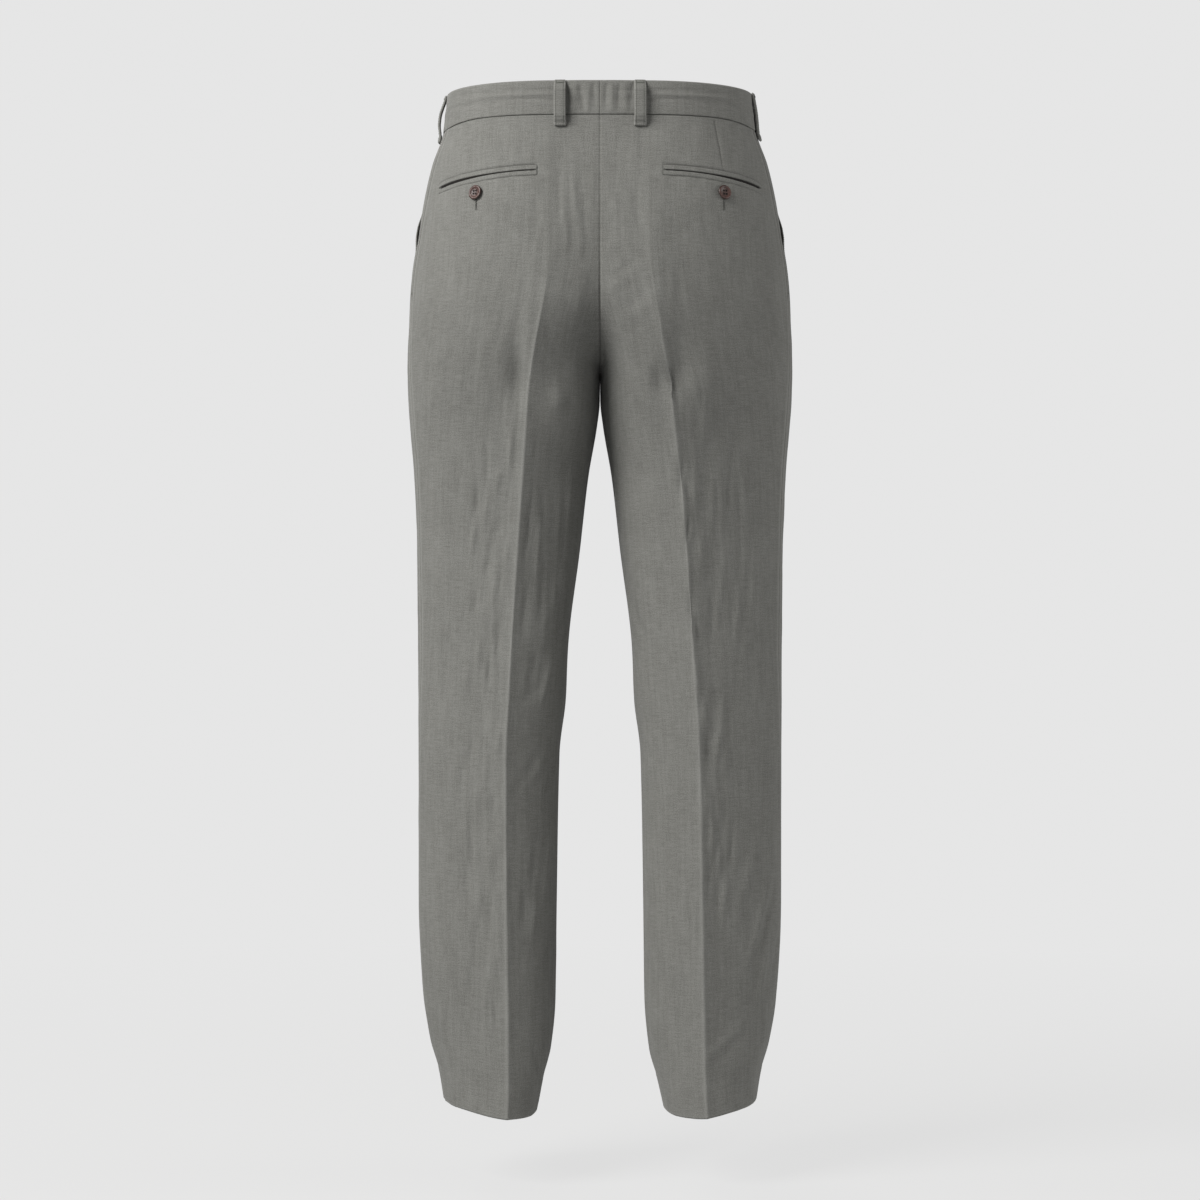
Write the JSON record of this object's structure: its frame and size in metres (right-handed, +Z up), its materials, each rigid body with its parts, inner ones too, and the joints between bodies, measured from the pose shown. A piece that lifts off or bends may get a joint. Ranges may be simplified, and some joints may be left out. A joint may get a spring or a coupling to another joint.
{
  "type": "linen trousers",
  "caption": "Straight-leg linen trousers in their worn, hollow form, with waistband, belt loops, slant front pockets, jetted back pockets and pressed creases.",
  "frame": {"origin": "middle of the waistband's ring, halfway down the band, where the wearer's waist holds the trousers up", "axes": "+Z up, -Y towards the garment's front, +X towards its left leg"},
  "size_m": [0.402, 0.2649, 1.06],
  "materials": {
    "linen": "matt grey-green plain-weave linen with slubs",
    "button": "polished dark red-brown resin, four holes",
    "thread": "matt grey-green sewing thread"
  },
  "bodies": {
    "root": {"back_left": "linen", "back_right": "linen", "front_left": "linen", "front_right": "linen", "hip_facing_left": "linen", "hip_facing_right": "linen", "waistband_left": "linen", "waistband_right": "linen", "belt_loop_back_left": "linen", "belt_loop_back_right": "linen", "belt_loop_side_left": "linen", "belt_loop_side_right": "linen", "belt_loop_front_left": "linen", "belt_loop_front_right": "linen", "welt_upper_left": "linen", "welt_lower_left": "linen", "welt_upper_right": "linen", "welt_lower_right": "linen", "button_back_left": "button", "button_back_right": "button", "button_waist": "button"}
  },
  "joints": []
}
